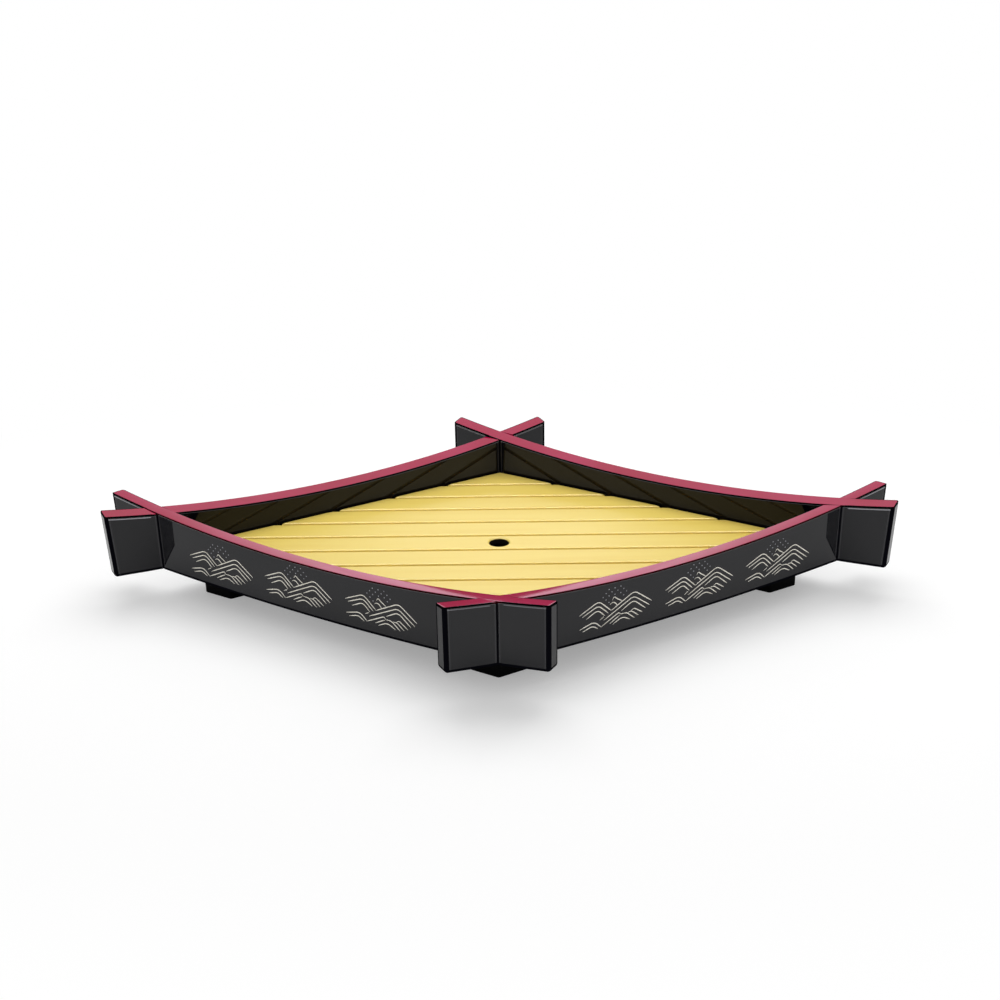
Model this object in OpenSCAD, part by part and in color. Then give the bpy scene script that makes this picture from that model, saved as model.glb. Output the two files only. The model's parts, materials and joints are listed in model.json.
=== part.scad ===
// Rhombus serving tray: four curved beams cross-lapped at the corners, with a lift-out slatted board.
// +X runs along the long diagonal, +Y to the rear, +Z up. The origin is on the table under the middle.

/* [Tray] */
// Overall length, over the beam ends along the long diagonal
tray_length = 767; // [700:1:840]
// Overall width, over the beam ends along the short diagonal
tray_width = 457; // [425:1:500]

/* [Beams] */
// Thickness of a beam
beam_t = 15.5; // [12:0.5:20]
// Length of a beam's end past the middle of its crossing
stub_l = 55; // [46:1:62]
// Clear height under the middle of a beam
under_h = 24; // [21:0.5:26]
// Height of a beam at its middle, with its red edge strip
beam_mid_h = 53; // [47:0.5:60]
// Radius of the hollow curve of the top edge, seen from the side
top_curve_r = 1360; // [1100:10:2400]
// Radius of the bowed curve of the bottom edge, seen from the side
bottom_curve_r = 3300; // [2200:10:6000]
// Drop of the top face from its outer edge to its inner edge
top_drop = 2; // [0.5:0.1:4]
// Height of the upper pair's top edges over the lower pair's
pair_step = 0.6; // [0:0.1:2]
// Radius of the upright corners of a beam's end
end_corner_r = 2.5; // [1:0.5:5]
// Outward lean of a beam's end at a side crossing, over the height of the beam; the other end is upright
end_lean = 3; // [0.5:0.5:5]
// Extra rise of the bottom edge at the upright end
end_rise = 4; // [1:0.5:5]
// Thickness of the red edge strip
cap_t = 1.5; // [1:0.1:2.5]
// Clearance on each side of a lap joint
lap_clear = 0.15; // [0.1:0.05:0.3]
// Diameter of the dowel through a lap joint
dowel_d = 8; // [5:0.5:10]
// Length of the dowel through a lap joint
dowel_l = 30; // [20:1:40]

/* [Bottom panel and cleats] */
// Thickness of the bottom panel
panel_t = 4; // [3:0.5:5]
// Clearance between the panel and the beams
panel_clear = 0.4; // [0.2:0.1:1]
// Radius of the panel's corners
panel_corner_r = 3; // [2:0.5:6]
// Width of a cleat, measured away from its beam
cleat_w = 9; // [8:0.5:12]
// Height of a cleat
cleat_h = 7; // [6:0.5:8]
// Length of a cleat
cleat_l = 280; // [240:5:290]

/* [Feet] */
// Side of the rhombus that a foot has in plan
foot_side = 36; // [26:0.2:40]
// Radius of a foot's upright edges
foot_corner_r = 3; // [1:0.5:5]
// Gap between a foot and the cleats beside it
foot_gap = 0.6; // [0.3:0.1:1.5]

/* [Slatted board] */
// Thickness of a slat
slat_t = 7; // [5:0.5:9]
// Number of slats before and behind the middle one
side_slats = 5; // [4:1:6]
// Distance from the middle of an end slat's pitch to the board's tip, which that slat reaches
slat_tip = 19.5; // [17:0.1:26]
// Gap between two slats
slat_gap = 3; // [2:0.5:8]
// Radius of a slat's long top edges
slat_edge_r = 2.5; // [1:0.5:3.5]
// Clearance between the board and the beams
board_clear = 3; // [1:0.1:4]
// Radius of the board's corners
board_corner_r = 4; // [2:0.5:8]
// Rim between the finger hole and the edges of the middle slat
finger_hole_rim = 5; // [2:0.1:6]
// Thickness of a batten
batten_t = 6; // [5:0.5:8]
// Width of a batten
batten_w = 14; // [10:0.5:18]
// Distance of a batten's ends from the board's edge
batten_end_in = 4; // [3:0.5:8]
// Gap under the battens, above the panel
board_lift_gap = 0.3; // [0.3:0.05:0.6]
// Diameter of a slat's pin
pin_d = 2; // [1.6:0.1:2.6]
// Length of a slat's pin
pin_l = 10; // [8:0.5:11]
// Depth of a pin's head under the batten's lower face
pin_sink = 0.5; // [0.2:0.1:1]

/* [Screws] */
// Shank diameter of a screw
screw_d = 3; // [2.5:0.1:3.5]
// Head diameter of a screw
screw_head_d = 6; // [5:0.1:7]
// Length of a cleat's screws
cleat_screw_l = 19; // [15:0.5:21]
// Length of the panel's screws
panel_screw_l = 9.5; // [8:0.5:10]
// Length of a foot's screw
foot_screw_l = 26; // [18:1:34]
// Distance of a cleat's outer screws from its middle
cleat_screw_s = 110; // [90:1:120]
// Distance of the panel's screws from the cleat's middle
panel_screw_s = 55; // [40:1:75]
// Width of the slots of a screw's cross recess
recess_w = 0.8; // [0.5:0.1:1]
// Length of the slots of a screw's cross recess
recess_l = 3; // [2:0.1:3.5]
// Depth of the cross recess
recess_depth = 1.2; // [0.8:0.1:1.6]

/* [Hidden] */
$fn = 48;
// Sides of the circles that draw the two long curves
curve_sides = 1440;
// Steps in the arc of a rounded rhombus corner
corner_steps = 8;
// Radial clearance round dowels, pins and screw shanks
shank_clear = 0.1;
// Clearance past the tip of a dowel, pin or screw
tip_clear = 0.5;
// How far a cut runs past the faces it opens
overrun = 5;
// Places of the inner, middle and outer battens, as shares of the board's half length
batten_shares = [0.083, 0.35, 0.635];

// Plan of the beams, solved from the overall sizes: a beam runs at plan_angle to the long diagonal
reach_x = tray_length / 2 - end_corner_r;
reach_y = tray_width / 2 - end_corner_r;
half_core = beam_t / 2 - end_corner_r;
function angle_after(n) = n == 0 ? atan2(reach_y, reach_x)
    : atan2(reach_y, reach_x) - asin(half_core * cos(2 * angle_after(n - 1)) / norm([reach_x, reach_y]));
plan_angle = angle_after(6);
half_x = reach_x - (stub_l - end_corner_r) * cos(plan_angle) - half_core * sin(plan_angle);
half_y = reach_y - (stub_l - end_corner_r) * sin(plan_angle) - half_core * cos(plan_angle);
half_span = norm([half_x, half_y]) / 2;
beam_half_l = half_span + stub_l;

// Half diagonals of the well between the beams' inner faces
well_x = half_x - beam_t / 2 / sin(plan_angle);
well_y = half_y - beam_t / 2 / cos(plan_angle);

// Heights
function arc_rise(r, s) = r - sqrt(r * r - s * s);
top_drop_angle = atan(top_drop / beam_t);
mid_top = under_h + beam_mid_h;
end_top = mid_top + arc_rise(top_curve_r, beam_half_l);
cross_top = mid_top + arc_rise(top_curve_r, half_span);
cross_bottom = under_h + arc_rise(bottom_curve_r, half_span);
lap_z = (cross_top + cross_bottom) / 2;
end_lean_angle = atan(end_lean / (end_top - under_h));

// The bottom edge runs straight up from rise_x, just past a front or rear crossing, to the upright end
rise_x = half_span + beam_t / 2;
rise_z = under_h + arc_rise(bottom_curve_r, rise_x);
rise_end_z = under_h + arc_rise(bottom_curve_r, beam_half_l) + end_rise;
rise_angle = atan((rise_end_z - rise_z) / (beam_half_l - rise_x));

cleat_z = under_h + arc_rise(bottom_curve_r, cleat_l / 2);
panel_z = cleat_z + cleat_h;
batten_z = panel_z + panel_t + board_lift_gap;
slat_z = batten_z + batten_t;

// Half diagonals of the panel and the board
panel_x = well_x - panel_clear / sin(plan_angle);
panel_y = well_y - panel_clear / cos(plan_angle);
board_x = well_x - board_clear / sin(plan_angle);
board_y = well_y - board_clear / cos(plan_angle);

// Half the length of a batten along its middle, and how far out a pin reaches in it
function batten_half_l(x) = board_y - batten_end_in / cos(plan_angle) - x * tan(plan_angle);
function pin_reach(x) = batten_half_l(abs(x) + batten_w / 2) - pin_d;

// Slats: their number, the distance between their middles, their width and the finger hole
slat_count = 2 * side_slats + 1;
middle_slat = side_slats + 1;
slat_pitch = (board_y - slat_tip) / side_slats;
slat_w = slat_pitch - slat_gap;
finger_hole_d = slat_w - 2 * finger_hole_rim;
// How far in from a slat's middle its inner pin may stand
pin_room = slat_w / 2 - slat_edge_r - pin_d;

// Height of a screw's countersunk head, a 90 degree cone
screw_head_h = (screw_head_d - screw_d) / 2;

// Half diagonals of a foot, and where its middle lies inside the cleats' corner
foot_x = foot_side * cos(plan_angle);
foot_y = foot_side * sin(plan_angle);
foot_in = beam_t / 2 + cleat_w + foot_gap;
foot_at_x = half_x - foot_in / sin(plan_angle) - foot_x;
foot_at_y = half_y - foot_in / cos(plan_angle) - foot_y;

// Each side of the tray: the turn of its beam and the middle of its beam
FRONT_LEFT = [180 - plan_angle, [-half_x / 2, -half_y / 2, 0]];
FRONT_RIGHT = [180 + plan_angle, [half_x / 2, -half_y / 2, 0]];
REAR_LEFT = [plan_angle, [-half_x / 2, half_y / 2, 0]];
REAR_RIGHT = [-plan_angle, [half_x / 2, half_y / 2, 0]];
SIDES = [FRONT_LEFT, FRONT_RIGHT, REAR_LEFT, REAR_RIGHT];
CROSSINGS = [[-half_x, 0, 0], [half_x, 0, 0], [0, -half_y, 0], [0, half_y, 0]];
FEET = [[-foot_at_x, 0, 0], [foot_at_x, 0, 0], [0, -foot_at_y, 0], [0, foot_at_y, 0]];
BATTENS = [for (i = [2:-1:0]) -batten_shares[i] * board_x, for (i = [0:2]) batten_shares[i] * board_x];
UPPER = 1;
LOWER = -1;

BEAM_BLACK = [0.07, 0.07, 0.08];
CAP_RED = [0.74, 0.06, 0.13];
FOOT_BLACK = [0.05, 0.05, 0.055];
PANEL_BLACK = [0.09, 0.09, 0.1];
SLAT_YELLOW = [0.93, 0.8, 0.45];
WOOD = [0.78, 0.62, 0.42];
STEEL = [0.72, 0.73, 0.75];

// Puts a shape drawn along a beam, with +Y to the outside of the tray, on its side of the tray
module on_side(side) translate(side[1]) rotate(side[0]) children();

// Points of an arc round a middle, from one angle to another
function arc_points(middle, r, from, to) =
    [for (i = [0:corner_steps]) let (turn = from + (to - from) * i / corner_steps)
        middle + r * [cos(turn), sin(turn)]];

// Rhombus with rounded corners, from its sharp half diagonals
module rounded_rhombus(hx, hy, r) {
    angle = atan2(hy, hx);
    ix = hx - r / sin(angle);
    iy = hy - r / cos(angle);
    polygon(concat(
        arc_points([ix, 0], r, angle - 90, 90 - angle),
        arc_points([0, iy], r, 90 - angle, 90 + angle),
        arc_points([-ix, 0], r, 90 + angle, 270 - angle),
        arc_points([0, -iy], r, 270 - angle, 270 + angle)));
}

// Upright rhombus prism, from its half diagonals
module rhombus_prism(x, y, r, z, h) translate([0, 0, z]) linear_extrude(h) rounded_rhombus(x, y, r);

// Bar whose end at +X has rounded corners and leans by an angle; it runs on past the beam's other end
module end_bar(lean_angle) {
    run = 2 * beam_half_l + overrun;
    translate([beam_half_l, 0, end_top + pair_step]) rotate([0, lean_angle, 0])
        translate([0, 0, -2 * end_top]) linear_extrude(2 * end_top + 2 * overrun) {
            translate([-run, -beam_t / 2]) square([run - end_corner_r, beam_t]);
            translate([-run, -half_core]) square([run, 2 * half_core]);
            for (y = [-1, 1]) translate([-end_corner_r, y * half_core]) circle(end_corner_r);
        }
}

// Turns a shape drawn at +X to a beam's end at its side crossing, or to its upright end
module at_side_end(pair) mirror([pair == UPPER ? 0 : 1, 0, 0]) children();
module at_upright_end(pair) at_side_end(-pair) children();

// A beam's bar, the part that the bars of its two ends share
module bar(pair) intersection() {
    at_side_end(pair) end_bar(end_lean_angle);
    at_upright_end(pair) end_bar(0);
}

// Round body that carves the hollow top edge, tilted so that the inner edge lies lower
module top_curve(pair, depth) {
    r = top_curve_r + depth;
    top = mid_top + (pair == UPPER ? pair_step : 0);
    translate([0, beam_t / 2, top]) rotate([90 + top_drop_angle, 0, 0])
        translate([0, top_curve_r, -beam_t]) cylinder(r = r, h = 3 * beam_t, $fn = curve_sides);
}

// Round body whose underside is the bowed bottom edge
module bottom_curve() translate([0, beam_t, under_h + bottom_curve_r]) rotate([90, 0, 0])
    cylinder(r = bottom_curve_r, h = 2 * beam_t, $fn = curve_sides);

// Wedge that carves the straight rise of the bottom edge at the upright end
module rise_wedge() translate([rise_x, 0, rise_z]) rotate([0, -rise_angle, 0])
    translate([0, -beam_t, -under_h]) cube([2 * stub_l, 2 * beam_t, under_h]);

// The two beams that cross this one, as slabs with the lap joint's clearance, from z0 to z1
module crossing_slabs(pair, z0, z1) {
    w = beam_t + 2 * lap_clear;
    l = 2 * stub_l;
    for (x = [-half_span, half_span]) translate([x, 0, z0]) rotate(pair * 2 * plan_angle)
        translate([-l / 2, -w / 2, 0]) cube([l, w, z1 - z0]);
}

// Bores for the dowels that lock the lap joints
module dowel_bores() for (x = [-half_span, half_span])
    translate([x, 0, lap_z - dowel_l / 2 - tip_clear])
        cylinder(d = dowel_d + 2 * shank_clear, h = dowel_l + 2 * tip_clear);

// Places on a cleat's inner face that take the screws into the beam
module at_cleat_screws() for (x = [-cleat_screw_s, 0, cleat_screw_s])
    translate([x, -beam_t / 2 - cleat_w, cleat_z + cleat_h / 2]) rotate([90, 0, 0]) children();

// Places on the panel's top that take the screws into a cleat
module at_panel_screws() for (x = [-panel_screw_s, panel_screw_s])
    translate([x, -beam_t / 2 - cleat_w / 2, panel_z + panel_t]) children();

// Countersunk screw with a cross recess, head face at the origin and shank downwards
module screw(l) difference() {
    union() {
        screw_head();
        translate([0, 0, -l]) cylinder(d = screw_d, h = l);
    }
    for (turn = [0, 90]) rotate(turn) translate([-recess_l / 2, -recess_w / 2, -recess_depth])
        cube([recess_l, recess_w, recess_depth + overrun]);
}

module screw_head() translate([0, 0, -screw_head_h])
    cylinder(d1 = screw_d, d2 = screw_head_d, h = screw_head_h);

// Seat for a countersunk screw, with clearance all round
module screw_seat(l) {
    c = 2 * shank_clear;
    translate([0, 0, -screw_head_h]) cylinder(d1 = screw_d + c, d2 = screw_head_d + c, h = screw_head_h);
    cylinder(d = screw_head_d + c, h = overrun);
    translate([0, 0, -l - tip_clear]) cylinder(d = screw_d + c, h = l + tip_clear);
}

// A curved beam with its lap joints; the upper pair is notched from below, the lower from above
module beam(side, pair) color(BEAM_BLACK) on_side(side) difference() {
    intersection() {
        bar(pair);
        bottom_curve();
    }
    top_curve(pair, cap_t);
    at_upright_end(pair) rise_wedge();
    if (pair == UPPER) crossing_slabs(pair, 0, lap_z);
    else crossing_slabs(pair, lap_z, end_top + overrun);
    dowel_bores();
    at_cleat_screws() screw_seat(cleat_screw_l);
}

// The red strip on a beam's top; the lower pair's strips stop at the upper pair
module cap(side, pair) color(CAP_RED) on_side(side) difference() {
    intersection() {
        bar(pair);
        top_curve(pair, cap_t);
    }
    top_curve(pair, 0);
    if (pair == LOWER) crossing_slabs(pair, lap_z, end_top + overrun);
}

module base_panel() color(PANEL_BLACK) difference() {
    rhombus_prism(panel_x, panel_y, panel_corner_r, panel_z, panel_t);
    for (side = SIDES) on_side(side) at_panel_screws() screw_seat(panel_screw_l);
    for (foot = FEET) translate(foot + [0, 0, panel_z + panel_t]) screw_seat(foot_screw_l);
}

module cleat(side) color(PANEL_BLACK) on_side(side) difference() {
    translate([-cleat_l / 2, -beam_t / 2 - cleat_w, cleat_z]) cube([cleat_l, cleat_w, cleat_h]);
    at_cleat_screws() screw_seat(cleat_screw_l);
    at_panel_screws() screw_seat(panel_screw_l);
}

module lap_dowels() color(WOOD) for (crossing = CROSSINGS)
    translate(crossing + [0, 0, lap_z - dowel_l / 2]) cylinder(d = dowel_d, h = dowel_l);

module cleat_screws() color(STEEL) for (side = SIDES) on_side(side) at_cleat_screws() screw(cleat_screw_l);

module panel_screws() color(STEEL) for (side = SIDES) on_side(side) at_panel_screws() screw(panel_screw_l);

module foot(place) color(FOOT_BLACK) difference() {
    translate(place) linear_extrude(panel_z) rounded_rhombus(foot_x, foot_y, foot_corner_r);
    translate(place + [0, 0, panel_z + panel_t]) screw_seat(foot_screw_l);
}

module foot_screws() color(STEEL) for (foot = FEET)
    translate(foot + [0, 0, panel_z + panel_t]) screw(foot_screw_l);

// One half of a slat's section: flat below, with a rounded top edge
module half_slat_section(w) {
    square([w, slat_t - slat_edge_r]);
    square([w - slat_edge_r, slat_t]);
    translate([w - slat_edge_r, slat_t - slat_edge_r]) circle(slat_edge_r);
}

// How far a slat reaches from its middle; the outer side of an end slat is drawn past the board's tip
function slat_reach(is_end) = is_end ? slat_tip + overrun : slat_w / 2;

// Slat number i, counted from the front; the middle one has the finger hole
module slat(i) color(SLAT_YELLOW) difference() {
    intersection() {
        translate([-board_x, (i - middle_slat) * slat_pitch, slat_z])
            rotate([90, 0, 90]) linear_extrude(2 * board_x) {
                half_slat_section(slat_reach(i == slat_count));
                mirror([1, 0]) half_slat_section(slat_reach(i == 1));
            }
        rhombus_prism(board_x, board_y, board_corner_r, slat_z - overrun, slat_t + 2 * overrun);
    }
    if (i == middle_slat) translate([0, 0, slat_z - overrun])
        cylinder(d = finger_hole_d, h = slat_t + 2 * overrun);
    at_pins() pin_bore();
}

// A batten across the slats, with its ends cut along the beams
module batten(x) color(SLAT_YELLOW) difference() {
    intersection() {
        translate([x - batten_w / 2, -board_y, batten_z]) cube([batten_w, 2 * board_y, batten_t]);
        rhombus_prism(board_x - batten_end_in / sin(plan_angle), board_y - batten_end_in / cos(plan_angle),
            board_corner_r, batten_z - overrun, batten_t + 2 * overrun);
    }
    at_pins() pin_bore();
}

// A pin goes in wherever a batten holds a slat, at the slat's middle or as far out as the batten reaches
module at_pins() for (x = BATTENS, k = [-side_slats:side_slats])
    if (abs(k) * slat_pitch - pin_room <= pin_reach(x))
        translate([x, sign(k) * min(abs(k) * slat_pitch, pin_reach(x)), batten_z + pin_sink]) children();

module pin_bore() translate([0, 0, -pin_sink - overrun])
    cylinder(d = pin_d + 2 * shank_clear, h = pin_l + pin_sink + overrun + tip_clear);

module slat_pins() color(STEEL) at_pins() cylinder(d = pin_d, h = pin_l);

beam(FRONT_LEFT, UPPER);  // front_left_beam
beam(REAR_RIGHT, UPPER);  // rear_right_beam
beam(FRONT_RIGHT, LOWER);  // front_right_beam
beam(REAR_LEFT, LOWER);  // rear_left_beam
cap(FRONT_LEFT, UPPER);  // front_left_cap
cap(REAR_RIGHT, UPPER);  // rear_right_cap
cap(FRONT_RIGHT, LOWER);  // front_right_cap
cap(REAR_LEFT, LOWER);  // rear_left_cap
base_panel();
cleat(FRONT_LEFT);  // front_left_cleat
cleat(FRONT_RIGHT);  // front_right_cleat
cleat(REAR_LEFT);  // rear_left_cleat
cleat(REAR_RIGHT);  // rear_right_cleat
lap_dowels();
cleat_screws();
panel_screws();
foot(FEET[0]);  // left_foot
foot(FEET[1]);  // right_foot
foot(FEET[2]);  // front_foot
foot(FEET[3]);  // rear_foot
foot_screws();
for (i = [1:slat_count]) slat(i);
for (i = [1:len(BATTENS)]) batten(BATTENS[i - 1]);
slat_pins();
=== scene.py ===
"""Dresses the rhombus serving tray: lacquered beams, red edges, waves, feet and a slatted board."""
import json
import logging
import math
from abc import ABC, abstractmethod
from dataclasses import dataclass, field
from enum import Enum

import bmesh
import bpy
import numpy as np
from mathutils import Matrix, Vector


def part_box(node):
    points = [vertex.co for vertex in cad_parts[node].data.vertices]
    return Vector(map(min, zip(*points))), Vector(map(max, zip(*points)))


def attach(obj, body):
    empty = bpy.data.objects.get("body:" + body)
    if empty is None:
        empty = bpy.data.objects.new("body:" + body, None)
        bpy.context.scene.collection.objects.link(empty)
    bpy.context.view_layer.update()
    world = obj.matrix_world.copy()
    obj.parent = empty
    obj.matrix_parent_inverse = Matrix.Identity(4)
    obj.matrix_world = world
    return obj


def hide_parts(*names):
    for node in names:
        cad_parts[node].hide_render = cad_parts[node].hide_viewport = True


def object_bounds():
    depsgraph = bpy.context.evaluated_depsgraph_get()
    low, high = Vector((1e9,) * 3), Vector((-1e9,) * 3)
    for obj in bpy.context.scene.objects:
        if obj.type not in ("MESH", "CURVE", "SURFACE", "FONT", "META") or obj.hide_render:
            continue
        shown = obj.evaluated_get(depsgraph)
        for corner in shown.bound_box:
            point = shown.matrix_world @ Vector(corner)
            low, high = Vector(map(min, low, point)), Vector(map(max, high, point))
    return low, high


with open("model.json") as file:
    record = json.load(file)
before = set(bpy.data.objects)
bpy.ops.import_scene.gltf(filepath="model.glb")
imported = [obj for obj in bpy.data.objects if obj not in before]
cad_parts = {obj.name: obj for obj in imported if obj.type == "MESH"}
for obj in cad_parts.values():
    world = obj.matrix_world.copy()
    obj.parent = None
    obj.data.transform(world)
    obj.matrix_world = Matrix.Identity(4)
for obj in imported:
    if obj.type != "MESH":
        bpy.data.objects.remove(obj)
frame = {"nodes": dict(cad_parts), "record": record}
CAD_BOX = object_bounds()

LOG = logging.getLogger("tray")
MM = 0.001
CREASE = math.radians(34)
WELD = 1e-7
SAME = 1e-6
FLAT_WEIGHT = 100
WHITE = (1.0, 1.0, 1.0, 1.0)

Number = np.ndarray | float
Colour = tuple[float, float, float]
Triple = tuple[float, float, float]
Flat = tuple[float, float]
Edges = tuple[float, float]
Wander = tuple[float, float]
Face = tuple[int, ...]
Stroke = tuple[Flat, ...]


class Pair(Enum):
    """Which pair of beams a beam belongs to at the lap joints."""

    UPPER = 1
    LOWER = -1


class Side(Enum):
    """The four sides of the tray, as signs along the long and the short diagonal."""

    FRONT_LEFT = (-1, -1)
    FRONT_RIGHT = (1, -1)
    REAR_LEFT = (-1, 1)
    REAR_RIGHT = (1, 1)

    @property
    def label(self) -> str:
        """Name of the side as it stands in the names of the pieces."""
        return self.name.lower()

    @property
    def pair(self) -> Pair:
        """The pair that this side's beam belongs to."""
        return Pair(self.value[0] * self.value[1])


@dataclass(frozen=True)
class TrayPlan:
    """Sizes of the beams' layout, in metres.

    Args:
        length: overall length along the long diagonal.
        width: overall width along the short diagonal.
    """

    length: float
    width: float
    beam_t: float = 15.5 * MM
    stub_l: float = 55 * MM
    under_h: float = 24 * MM
    beam_mid_h: float = 53 * MM
    top_curve_r: float = 1360 * MM
    bottom_curve_r: float = 3300 * MM
    top_drop: float = 2 * MM
    pair_step: float = 0.6 * MM
    end_corner_r: float = 2.5 * MM
    end_lean: float = 3 * MM
    end_rise: float = 4 * MM
    lean_from: float = 0.3
    lean_run: float = 0.5
    cap_t: float = 1.5 * MM
    lap_clear: float = 0.15 * MM
    solve_rounds: int = 6

    @property
    def angle(self) -> float:
        """Angle between a beam and the long diagonal.

        It is solved so that the rounded beam ends reach the overall sizes.

        Returns:
            The angle in radians.
        """
        reach_x = self.length / 2 - self.end_corner_r
        reach_y = self.width / 2 - self.end_corner_r
        core = self.beam_t / 2 - self.end_corner_r
        start = math.atan2(reach_y, reach_x)
        angle = start
        for _ in range(self.solve_rounds):
            angle = start - math.asin(core * math.cos(2 * angle) / math.hypot(reach_x, reach_y))
        return angle

    @property
    def half_diagonals(self) -> tuple[float, float]:
        """Half diagonals of the rhombus through the beams' crossings.

        Returns:
            The long one and the short one.
        """
        r = self.end_corner_r
        core, run = self.beam_t / 2 - r, self.stub_l - r
        c, s = math.cos(self.angle), math.sin(self.angle)
        return self.length / 2 - r - run * c - core * s, self.width / 2 - r - run * s - core * c

    @property
    def half_span(self) -> float:
        """Half the length of a beam between its two crossings."""
        return math.hypot(*self.half_diagonals) / 2

    @property
    def half_l(self) -> float:
        """Half the length of a beam."""
        return self.half_span + self.stub_l

    @property
    def stub_from(self) -> float:
        """Distance from a beam's middle at which its stub is clear of the crossing beam."""
        return self.half_span + self.beam_t / 2 / math.sin(2 * self.angle)

    @property
    def lap_z(self) -> float:
        """Height at which the two beams of a crossing meet."""
        top = self.top_z(self.half_span, 0, Pair.LOWER, flat=True)
        return (top + self.bottom_z(self.half_span)) / 2

    @property
    def notch_slant(self) -> float:
        """Shift of an upper beam's notch walls along the beam for each metre outwards."""
        return 1 / math.tan(2 * self.angle)

    @staticmethod
    def rise(radius: float, x: Number) -> Number:
        """Rise of an arc over its middle: radius less the root of radius squared less x squared."""
        return radius - np.sqrt(radius * radius - np.square(x))

    def bottom_z(self, x: Number, pair: Pair | None = None) -> Number:
        """Height of a beam's bottom edge.

        It is an arc, and past the front or rear crossing a straight rise, if that is higher.

        Args:
            x: distance from the beam's middle.
            pair: the beam's pair, or None for the arc alone.

        Returns:
            The height over the table.
        """
        arc = self.under_h + self.rise(self.bottom_curve_r, x)
        if pair is None:
            return arc
        start = self.half_span + self.beam_t / 2
        foot = self.under_h + self.rise(self.bottom_curve_r, start)
        end = self.under_h + self.rise(self.bottom_curve_r, self.half_l) + self.end_rise
        out = -pair.value * x
        line = foot + (end - foot) * (out - start) / (self.half_l - start)
        return np.where(out > start, np.maximum(arc, line), arc)

    def top_z(self, x: Number, y: Number, pair: Pair, depth: float = 0.0,
              flat: bool = False) -> Number:
        """Height of a beam's top, an arc along the beam on a face that falls to the inside.

        Args:
            x: distance from the beam's middle.
            y: distance from the beam's centre line, to the outside.
            pair: the beam's pair.
            depth: how far under the top face the height is wanted.
            flat: whether the fall and the step between the pairs are left out.

        Returns:
            The height over the table.
        """
        arc = self.rise(self.top_curve_r + depth, x) - depth
        if flat:
            return self.under_h + self.beam_mid_h + arc
        fall = math.atan(self.top_drop / self.beam_t)
        step = self.pair_step if pair is Pair.UPPER else 0.0
        lift = (y - self.beam_t / 2) * math.tan(fall)
        return self.under_h + self.beam_mid_h + step + lift + arc / math.cos(fall)

    def lean(self, x: np.ndarray, z: np.ndarray, pair: Pair) -> np.ndarray:
        """How far a point lies in from its upright place where the side end leans.

        That is its depth under the end's top times the slope, which eases in along the stub.

        Args:
            x: distance from the beam's middle.
            z: height over the table.
            pair: the beam's pair, whose sign gives the leaning end.

        Returns:
            The shift along the beam.
        """
        top = self.top_z(self.half_l, 0, pair, flat=True)
        slope = self.end_lean / (top - self.under_h)
        start = self.half_span + self.lean_from * self.stub_l
        free = np.clip((pair.value * x - start) / (self.lean_run * self.stub_l), 0, 1)
        return np.sign(x) * free * free * (3 - 2 * free) * slope * (top - z)

    def seat(self, side: Side) -> tuple[float, float, float, float]:
        """Where a side's beam lies.

        Args:
            side: the side of the tray.

        Returns:
            Cosine and sine of the beam's turn, and x and y of its middle.
        """
        sx, sy = side.value
        half_x, half_y = self.half_diagonals
        turn = sx * sy * -self.angle + (math.pi if sy < 0 else 0.0)
        return math.cos(turn), math.sin(turn), sx * half_x / 2, sy * half_y / 2

    def placed(self, points: np.ndarray, side: Side) -> np.ndarray:
        """Takes points drawn along a beam, with y to the outside, to their side of the tray.

        Args:
            points: array whose last axis is x, y, z along the beam.
            side: the side of the tray.

        Returns:
            The points in the tray's frame.
        """
        c, s, middle_x, middle_y = self.seat(side)
        x, y, z = points[..., 0], points[..., 1], points[..., 2]
        return np.stack([c * x - s * y + middle_x, s * x + c * y + middle_y, z], -1)

    def along(self, points: np.ndarray, side: Side) -> np.ndarray:
        """Takes points in the tray's frame back to places along a beam, the inverse of placed.

        Args:
            points: array whose last axis is x, y, z in the tray's frame.
            side: the side of the tray.

        Returns:
            The points along the beam.
        """
        c, s, middle_x, middle_y = self.seat(side)
        x, y = points[..., 0] - middle_x, points[..., 1] - middle_y
        return np.stack([c * x + s * y, -s * x + c * y, points[..., 2]], -1)


def quarter(steps: int) -> np.ndarray:
    """Angles of a quarter turn, from zero, in equal steps."""
    return np.linspace(0, math.pi / 2, steps + 1)


def circle(steps: int) -> np.ndarray:
    """Angles of a whole turn in equal steps, as a row."""
    return np.linspace(0, 2 * math.pi, steps + 1)[None, :-1]


def rounding(radius: Number, depth: Number) -> Number:
    """How far a rounded edge lies in from its face, depth metres under the top it rounds into."""
    under = np.clip(1 - depth / radius, 0, 1)
    return radius * (1 - np.sqrt(1 - under * under))


def run_length(line: np.ndarray) -> np.ndarray:
    """Distance of each point of a line from its start: the sum of the steps before it."""
    steps = np.linalg.norm(np.diff(line, axis=0), axis=1)
    return np.concatenate([[0], np.cumsum(steps)])


def skin_faces(rings: int, points: int, first: int = 0) -> list[Face]:
    """Four-sided faces between closed rings that follow one another.

    Args:
        rings: number of rings.
        points: number of points in a ring.
        first: index of the skin's first vertex.

    Returns:
        The faces as tuples of vertex numbers.
    """
    index = first + np.arange(rings * points).reshape(rings, points)
    after = np.roll(index, -1, axis=1)
    quads = np.stack([index[:-1], after[:-1], after[1:], index[1:]], -1).reshape(-1, 4)
    return [tuple(quad) for quad in quads.tolist()]


def new_object(name: str, data: bpy.types.ID) -> bpy.types.Object:
    """Makes an object of a mesh, lamp or camera and puts it in the scene.

    Args:
        name: the object's name.
        data: its mesh, lamp or camera.

    Returns:
        The object.
    """
    made = bpy.data.objects.new(name, data)
    bpy.context.scene.collection.objects.link(made)
    return made


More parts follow.
